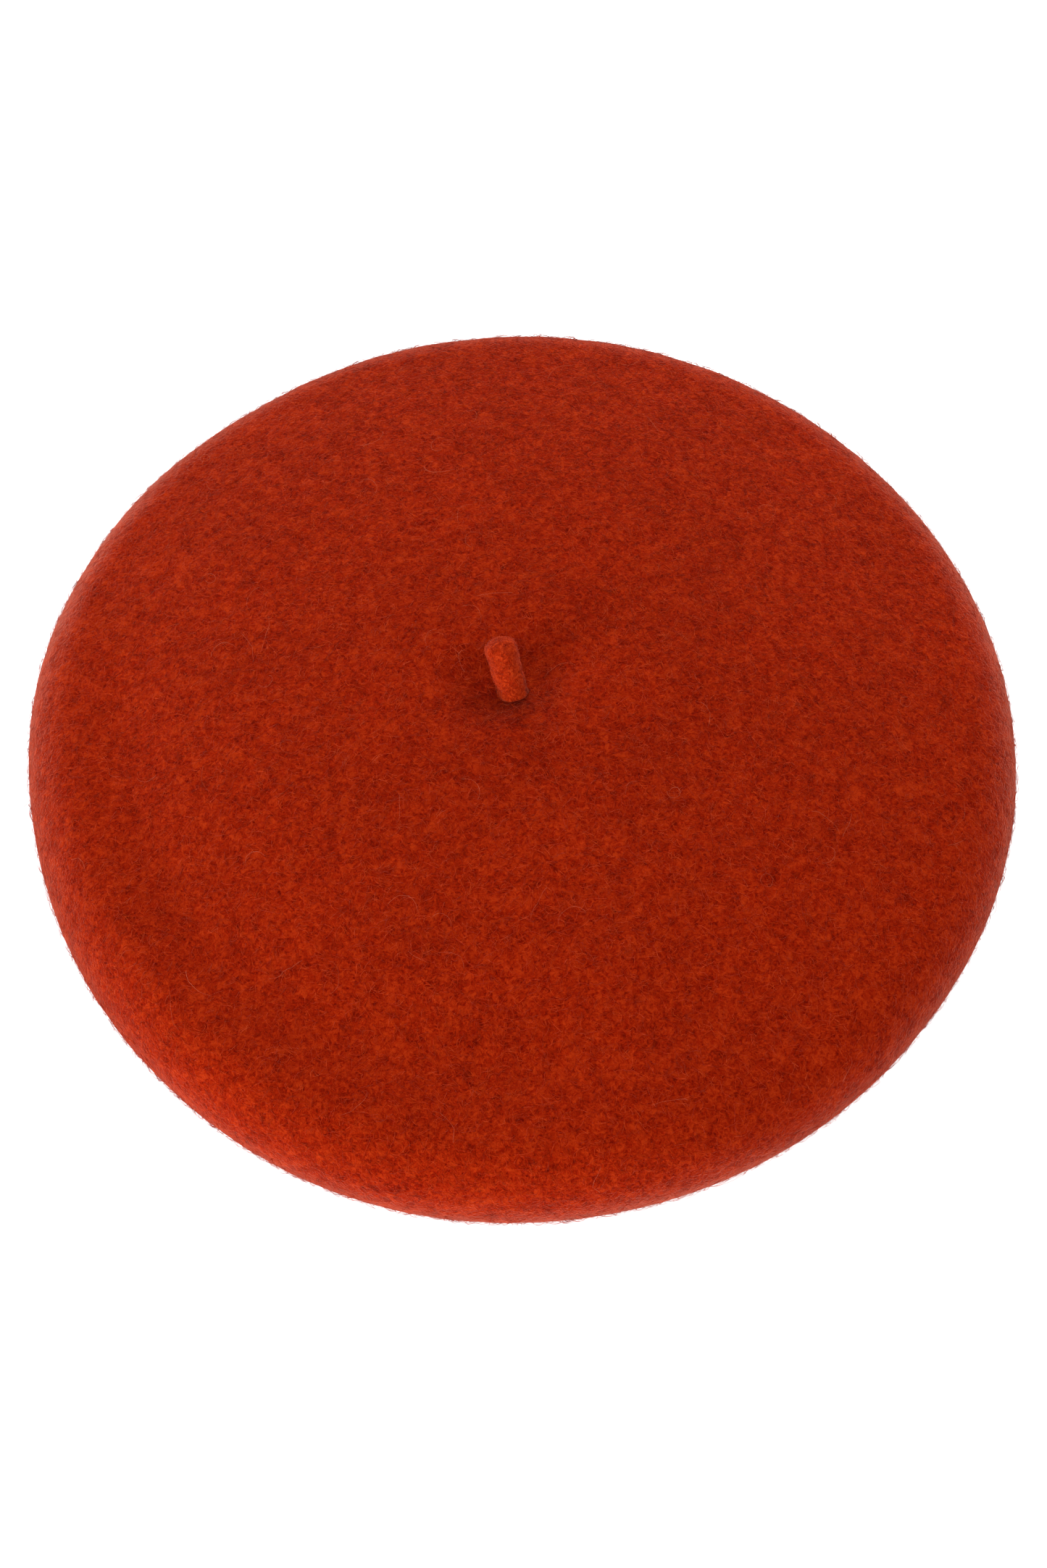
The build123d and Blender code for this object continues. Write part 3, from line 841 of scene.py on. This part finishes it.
def ribbed_strip(name, inner, thickness, low, high, first, last, waves):
    """Grosgrain bent round the Z axis: weft ribs that stand across the ribbon, and so scalloped edges."""
    count = max(int(RIBS_AROUND * RIB_STEPS * (last - first) / (2 * math.pi)), 12)
    angle = np.linspace(first, last, count)
    valley = (0.5 - 0.5 * np.cos(RIBS_AROUND * angle)) ** 1.6
    levels = np.array([0, 0.012, 0.06, 0.2, 0.4, 0.6, 0.8, 0.94, 0.988, 1])
    rounding = np.array([0.5, 0.2, 0, 0, 0, 0, 0, 0, 0.2, 0.5])
    face_in, face_out = [], []
    for level, round_off in zip(levels, rounding):
        edge = (0.16 * MM * valley) * (1 if level < 0.5 else -1) * (abs(level - 0.5) > 0.4)
        z = low + (high - low) * level + edge
        lean = waves(angle, z)
        inset = RIB_DEPTH * valley + round_off * thickness * 0.8
        inset = np.minimum(inset, thickness * 0.46)
        for face, radius in ((face_in, inner + inset + lean), (face_out, inner + thickness - inset + lean)):
            face.append(np.c_[radius * np.cos(angle), radius * np.sin(angle), z])
    ring = np.stack(face_in[::-1] + face_out)
    rows = len(ring)
    faces = grid_faces(rows, count, close_rows=True, close_columns=False)
    first_end = [i * count for i in range(rows)]
    faces += [tuple(first_end), tuple(i + count - 1 for i in first_end[::-1])]
    piece = add_mesh(name, ring.reshape(-1, 3), faces, grosgrain)
    return piece


def ribbons():
    gap = 0.25 * MM / BAND_INNER
    start = math.pi / 2 + gap
    band = ribbed_strip(
        "sweatband_ribbon",
        BAND_INNER,
        BAND_THICKNESS,
        band_low[2],
        band_high[2],
        start,
        start + 2 * math.pi - 2 * gap,
        lambda angle, z: band_wave((angle + math.pi) % (2 * math.pi) - math.pi, z),
    )
    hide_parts("sweatband")
    patch_low, patch_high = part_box("band_join_patch")
    half = patch_high[0] / BAND_OUTER
    patch = ribbed_strip(
        "band_join_ribbon",
        BAND_OUTER + 0.05 * MM,
        0.6 * MM,
        patch_low[2],
        patch_high[2],
        math.pi / 2 - half,
        math.pi / 2 + half,
        lambda angle, z: 0 * z,
    )
    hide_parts("band_join_patch")


# ---------------------------------------------------------------- elastic cord, stalk's knot
def elastic_cord():
    low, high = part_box("hem_elastic")
    radius = (high[2] - low[2]) / 2
    turn = np.linspace(0, 2 * math.pi, 1300, endpoint=False)[:, None]
    ring = high[0] - radius
    spine = np.hstack([ring * np.cos(turn), ring * np.sin(turn), 0 * turn + (low[2] + high[2]) / 2])
    points, faces = tube(
        spine, radius * 0.94, 12, plies=4, depth=0.09, pitch=5 * MM, closed=True, braided=True
    )
    piece = add_mesh("hem_elastic_cord", points, faces, elastic)
    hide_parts("hem_elastic")


def stalk_knot():
    """The stalk's neck through the crown, a tight knot of the same yarn under it and two cut ends."""
    yarn_radius = 1.0 * MM
    middle = np.array([0, 0, DOME_HEIGHT - DIMPLE_DEPTH - FELT - 2.1 * MM])
    t = np.linspace(0, 2 * math.pi, 160, endpoint=False)[:, None]
    loop = np.hstack([np.sin(t) + 2 * np.sin(2 * t), np.cos(t) - 2 * np.cos(2 * t), -1.1 * np.sin(3 * t)])
    spread = (KNOT_RADIUS - yarn_radius) / 3
    parts = [tube(middle + loop * spread, yarn_radius, 12, 3, 0.13, 6 * MM, closed=True)]
    neck = middle + UP * np.linspace(-1.5 * MM, 4.6 * MM, 18)[:, None]
    parts.append(tube(neck, 1.65 * MM, 16, 3, 0.1, 9 * MM))
    for azimuth in (-20, 205):
        s = np.linspace(0, 1, 16)[:, None]
        away = outward(azimuth) * (2.2 * MM + 3.6 * MM * np.sin(s * 1.6))
        aside = outward(azimuth + 90) * 1.2 * MM * s**2
        end = middle + away + aside - UP * 5.0 * MM * s**1.5
        parts.append(tube(end, yarn_radius * (0.95 - 0.35 * s[:, 0] ** 3), 12, 3, 0.15, 5 * MM))
    piece = add_mesh("stalk_knot_yarn", *joined(parts), yarn)
    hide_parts("stalk_tail")


# ---------------------------------------------------------------- labels
LABEL_RADIUS = 100 * MM  # where a label leaves its sewn edge
LABEL_SEWN = 3.6 * MM  # how much of it lies under the stitches
LABEL_CLOTH = 0.3 * MM


def slab(grid, thickness):
    """A closed sheet of a thickness about a grid of points."""
    down = np.gradient(grid, axis=0)
    across = np.gradient(grid, axis=1)
    normal = unit(np.cross(across, down)) * thickness / 2
    rows, columns = grid.shape[:2]
    count = rows * columns
    points = np.vstack([(grid + normal).reshape(-1, 3), (grid - normal).reshape(-1, 3)])
    top = grid_faces(rows, columns, close_columns=False)
    faces = top + [tuple(count + k for k in face[::-1]) for face in top]
    edge = [(0, j) for j in range(columns)] + [(i, columns - 1) for i in range(1, rows)]
    edge += [(rows - 1, j) for j in range(columns - 2, -1, -1)] + [(i, 0) for i in range(rows - 2, 0, -1)]
    rim = [i * columns + j for i, j in edge]
    for a, b in zip(rim, rim[1:] + rim[:1]):
        faces.append((b, a, count + a, count + b))
    return points, faces


def label(name, node, azimuth, width, path, curl, material):
    """A tape that runs out from the hem along a path of (radius, height), its free corners curled."""
    across = np.linspace(-width / 2, width / 2, 31)
    out, side = outward(azimuth), outward(azimuth + 90)
    grid = out * path[:, None, :1] + side * across[None, :, None] + UP * path[:, None, 1:]
    loose = smooth(LABEL_RADIUS + 4 * MM, LABEL_RADIUS + 26 * MM, path[:, 0])
    grid[..., 2] += curl * loose[:, None] * (2 * across[None] / width) ** 2
    flat = grid.reshape(-1, 3)
    ripple = 0.22 * MM * noise_at(flat, 11 * MM, 4.0)
    grid[..., 2] += ripple.reshape(grid.shape[:2]) * (0.2 + loose)[:, None]
    sewn = 1 - smooth(LABEL_RADIUS, LABEL_RADIUS + 5 * MM, path[:, 0])
    resting = (drop(flat, 1.0)[:, 2] - flat[:, 2]).reshape(grid.shape[:2])
    grid[..., 2] += resting * sewn[:, None]
    piece = add_mesh(name, *slab(grid, LABEL_CLOTH), material, body=None)
    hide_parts(node)
    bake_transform(piece)


def label_rise(out, lift, first, end):
    """How a label's height grows outward: a step over its stitches, then its free end lifts."""
    return 0.25 * MM * smooth(LABEL_RADIUS, LABEL_RADIUS + 4 * MM, out) + lift * smooth(first, end, out)


def labels():
    low = HEM_TOP + LABEL_CLOTH / 2 + 0.05 * MM
    start, end = LABEL_RADIUS - LABEL_SEWN, LABEL_RADIUS + CARE_LENGTH
    out = np.linspace(start, end, 44)
    rise = label_rise(out, 2.9 * MM, 110 * MM, end)
    label(
        "care_label_satin",
        "care_label",
        CARE_AZIMUTH,
        CARE_WIDTH,
        path=np.c_[out, low + rise],
        curl=0.9 * MM,
        material=satin,
    )
    end = LABEL_RADIUS + SIZE_LENGTH
    fold = 0.6 * MM  # radius of the loop's fold
    out = np.linspace(start, end - fold, 26)
    rise = label_rise(out, 0.5 * MM, 106 * MM, end)
    under = np.c_[out, low + rise]
    gap = 2 * fold - (2 * fold - 1.15 * LABEL_CLOTH) * (1 - smooth(start, LABEL_RADIUS + 6 * MM, out))
    over = np.c_[out, low + rise + gap]
    turn = circle_path((under[-1, 0], under[-1, 1] + fold), fold, -90, 90, 11)[1:-1]
    loop = np.vstack([under, turn, over[::-1]])
    label(
        "size_label_tape",
        "size_label",
        SIZE_AZIMUTH,
        SIZE_WIDTH,
        path=loop,
        curl=0.2 * MM,
        material=woven,
    )


ribbons()
elastic_cord()
stalk_knot()
labels()
all_sewing()


# ---------------------------------------------------------------- stage, light, camera
def plain_white(name, value, glow=0.0):
    n = Nodes(name)
    n.set(Base_Color=(value, value, value, 1), Roughness=0.9, Specular_IOR_Level=0.1)
    n.set(Emission_Color=(1, 1, 1, 1), Emission_Strength=glow)
    return n.material


def floor():
    half = 3.0
    piece = add_mesh(
        "floor",
        [(-half, -half, 0), (half, -half, 0), (half, half, 0), (-half, half, 0)],
        [(0, 1, 2, 3)],
        plain_white("floor_white", 0.55, 0.9),
        body=None,
    )


LIGHT_DISTANCE = 1.6


def area_light(name, azimuth, elevation, size, power):
    light = bpy.data.lights.new(name, "AREA")
    light.shape = "DISK"
    light.size = size
    light.energy = power
    lamp = bpy.data.objects.new(name, light)
    bpy.context.scene.collection.objects.link(lamp)
    lamp.visible_camera = False
    a, e = math.radians(azimuth), math.radians(elevation)
    toward = Vector((math.cos(a) * math.cos(e), math.sin(a) * math.cos(e), math.sin(e)))
    lamp.location = toward * LIGHT_DISTANCE
    lamp.rotation_euler = (-lamp.location).to_track_quat("-Z", "Y").to_euler()


floor()
area_light("back_key", azimuth=92, elevation=30, size=1.6, power=23)
area_light("back_right", azimuth=45, elevation=35, size=0.8, power=3.8)
area_light("left_low", azimuth=220, elevation=7, size=0.7, power=25)
area_light("right_low", azimuth=310, elevation=12, size=0.7, power=5)
area_light("front_top", azimuth=270, elevation=65, size=0.8, power=5.2)


def studio_world(fill, backdrop):
    """An even white fill, behind which the camera sees a white backdrop."""
    world = bpy.data.worlds.new("studio")
    world.use_nodes = True
    tree = world.node_tree
    tree.nodes["Background"].inputs["Color"].default_value = (1, 1, 1, 1)
    path = tree.nodes.new("ShaderNodeLightPath")
    strength = tree.nodes.new("ShaderNodeMapRange")
    strength.inputs["To Min"].default_value = fill
    strength.inputs["To Max"].default_value = backdrop
    tree.links.new(path.outputs["Is Camera Ray"], strength.inputs["Value"])
    tree.links.new(strength.outputs["Result"], tree.nodes["Background"].inputs["Strength"])
    bpy.context.scene.world = world


studio_world(fill=0.25, backdrop=1.0)
bpy.context.scene.view_settings.view_transform = "Standard"

CAMERA_ELEVATION = 61.3
CAMERA_DISTANCE = 0.83
CAMERA_AIM = (0.0042, -0.0161, 0.0183)
FRAME_WIDTH = 0.2955  # what the picture spans, side to side, at the beret
SENSOR = 36.0


def make_camera():
    data = bpy.data.cameras.new("camera")
    data.sensor_fit = "HORIZONTAL"
    data.sensor_width = SENSOR
    data.lens = SENSOR * CAMERA_DISTANCE / FRAME_WIDTH
    data.clip_start = 0.01
    camera = bpy.data.objects.new("camera", data)
    bpy.context.scene.collection.objects.link(camera)
    e = math.radians(CAMERA_ELEVATION)
    aim = Vector(CAMERA_AIM)
    away = Vector((0, -math.cos(e), math.sin(e)))
    camera.location = aim + away * CAMERA_DISTANCE
    camera.rotation_euler = (-away).to_track_quat("-Z", "Y").to_euler()
    bpy.context.scene.camera = camera


make_camera()
